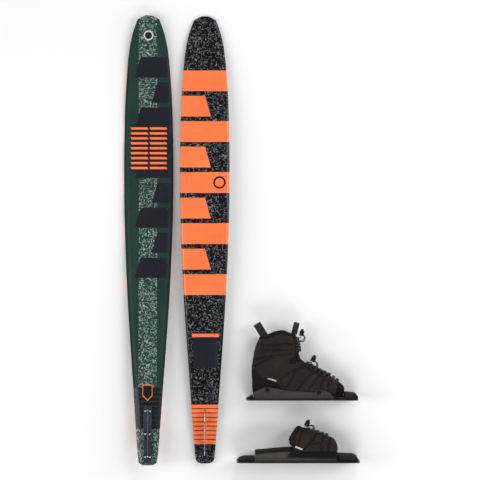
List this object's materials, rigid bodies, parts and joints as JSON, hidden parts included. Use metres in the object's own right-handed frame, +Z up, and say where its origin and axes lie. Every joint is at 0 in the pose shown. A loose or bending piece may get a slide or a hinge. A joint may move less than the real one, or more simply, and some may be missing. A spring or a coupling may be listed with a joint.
{
  "type": "water ski pair",
  "caption": "Slalom water skis, one deck up and one base up, with an adjustable fin each, a laced high front boot and a laced rear toe plate.",
  "frame": {"origin": "on the floor, under the middle of the whole layout", "axes": "+Y from the skis' tails to their tips, +X to the bindings, +Z up"},
  "size_m": [0.8937, 1.7039, 0.12],
  "materials": {
    "ski_shell": "green and near-black graphics under a clear gloss coat, glossy base",
    "fin_metal": "brushed, clear anodised",
    "block_black": "blue-black anodised, satin",
    "screw_steel": "bright stainless",
    "plate_dark": "dark anodised, satin",
    "rail_grey": "warm grey anodised, satin",
    "riser_grey": "warm grey moulded plastic, satin",
    "foam_black": "closed-cell foam, matte",
    "boot_fabric": "dark brown-black coated boot fabric with quilted seams",
    "webbing_black": "woven webbing and round lace",
    "lock_plastic": "moulded, satin",
    "bolt_black": "blackened"
  },
  "bodies": {
    "ski_a": {"ski_a_blade": "ski_shell", "ski_a_block_screw_left_1": "screw_steel", "ski_a_block_screw_left_2": "screw_steel", "ski_a_block_screw_left_3": "screw_steel", "ski_a_block_screw_right_1": "screw_steel", "ski_a_block_screw_right_2": "screw_steel", "ski_a_block_screw_right_3": "screw_steel"},
    "ski_a_fin_block": {"ski_a_fin_block_left": "block_black", "ski_a_fin_block_right": "block_black"},
    "ski_a_fin": {"ski_a_fin": "fin_metal"},
    "ski_b": {"ski_b_blade": "ski_shell", "ski_b_block_screw_left_1": "screw_steel", "ski_b_block_screw_left_2": "screw_steel", "ski_b_block_screw_left_3": "screw_steel", "ski_b_block_screw_right_1": "screw_steel", "ski_b_block_screw_right_2": "screw_steel", "ski_b_block_screw_right_3": "screw_steel"},
    "ski_b_fin_block": {"ski_b_fin_block_left": "block_black", "ski_b_fin_block_right": "block_black"},
    "ski_b_fin": {"ski_b_fin": "fin_metal"},
    "boot": {"boot_plate": "plate_dark", "boot_rail_left": "rail_grey", "boot_rail_right": "rail_grey", "boot_footbed": "foam_black", "boot_toe_pad": "foam_black", "boot_heel_wedge": "foam_black", "boot_lower": "boot_fabric", "boot_liner_toe": "foam_black", "boot_tongue_lower": "foam_black", "boot_lace_lower": "webbing_black", "boot_lock_lower_body": "lock_plastic", "boot_side_bolt_front_left": "bolt_black", "boot_side_bolt_front_right": "bolt_black", "boot_side_bolt_rear_left": "bolt_black", "boot_side_bolt_rear_right": "bolt_black"},
    "boot_cuff": {"boot_cuff": "boot_fabric", "boot_tongue_upper": "foam_black", "boot_lace_upper": "webbing_black", "boot_lock_upper_body": "lock_plastic"},
    "boot_heel_loop": {"boot_heel_loop": "webbing_black"},
    "boot_tongue_loop": {"boot_tongue_loop": "webbing_black"},
    "boot_lock_lower_button": {"boot_lock_lower_button": "lock_plastic"},
    "boot_lock_upper_button": {"boot_lock_upper_button": "lock_plastic"},
    "toe_plate": {"toe_plate": "plate_dark", "toe_riser": "riser_grey", "toe_footbed": "foam_black", "toe_heel_pad": "foam_black", "toe_front_pad": "foam_black", "toe_rail_left": "rail_grey", "toe_rail_right": "rail_grey", "toe_wrap_left": "foam_black", "toe_wrap_right": "foam_black", "toe_cover": "boot_fabric", "toe_lace": "webbing_black", "toe_lock_body": "lock_plastic"},
    "toe_lock_button": {"toe_lock_button": "lock_plastic"}
  },
  "joints": [
    {"name": "ski_b_lift", "type": "slide", "parent": "ski_a", "child": "ski_b", "axis": [0, 0, 1], "range_m": [0, 0.25]},
    {"name": "boot_lift", "type": "slide", "parent": "ski_a", "child": "boot", "axis": [0, 0, 1], "range_m": [0, 0.25]},
    {"name": "toe_plate_lift", "type": "slide", "parent": "ski_a", "child": "toe_plate", "axis": [0, 0, 1], "range_m": [0, 0.25]},
    {"name": "ski_a_fin_block_slide", "type": "slide", "parent": "ski_a", "child": "ski_a_fin_block", "axis": [0, 0.9975, -0.0701], "range_m": [-0.004, 0.004]},
    {"name": "ski_a_fin_depth", "type": "slide", "parent": "ski_a_fin_block", "child": "ski_a_fin", "axis": [0, -0.0701, -0.9975], "range_m": [0, 0.006]},
    {"name": "ski_b_fin_block_slide", "type": "slide", "parent": "ski_b", "child": "ski_b_fin_block", "axis": [0, 0.9994, 0.0349], "range_m": [-0.004, 0.004]},
    {"name": "ski_b_fin_depth", "type": "slide", "parent": "ski_b_fin_block", "child": "ski_b_fin", "axis": [0, -0.0349, 0.9994], "range_m": [0, 0.006]},
    {"name": "boot_ankle_flex", "type": "hinge", "parent": "boot", "child": "boot_cuff", "pos_m": [0.1196, -0.493, 0.06], "axis": [0, 0, -1], "range_deg": [0, 14], "stiffness_Nm_per_rad": 12},
    {"name": "boot_heel_loop_fold", "type": "hinge", "parent": "boot_cuff", "child": "boot_heel_loop", "pos_m": [0.0811, -0.353, 0.06], "axis": [0, 0, -1], "range_deg": [-20, 20]},
    {"name": "boot_tongue_loop_fold", "type": "hinge", "parent": "boot_cuff", "child": "boot_tongue_loop", "pos_m": [0.2031, -0.344, 0.06], "axis": [0, 0, -1], "range_deg": [-20, 20]},
    {"name": "boot_lock_lower_press", "type": "slide", "parent": "boot", "child": "boot_lock_lower_button", "axis": [-0.4226, -0.9063, 0], "range_m": [0, 0.004], "stiffness_N_per_m": 400, "springref_m": -0.003},
    {"name": "boot_lock_upper_press", "type": "slide", "parent": "boot_cuff", "child": "boot_lock_upper_button", "axis": [-0.1736, -0.9848, 0], "range_m": [0, 0.004], "stiffness_N_per_m": 400, "springref_m": -0.003},
    {"name": "toe_lock_press", "type": "slide", "parent": "toe_plate", "child": "toe_lock_button", "axis": [-0.4695, -0.8829, 0], "range_m": [0, 0.004], "stiffness_N_per_m": 400, "springref_m": -0.003}
  ]
}
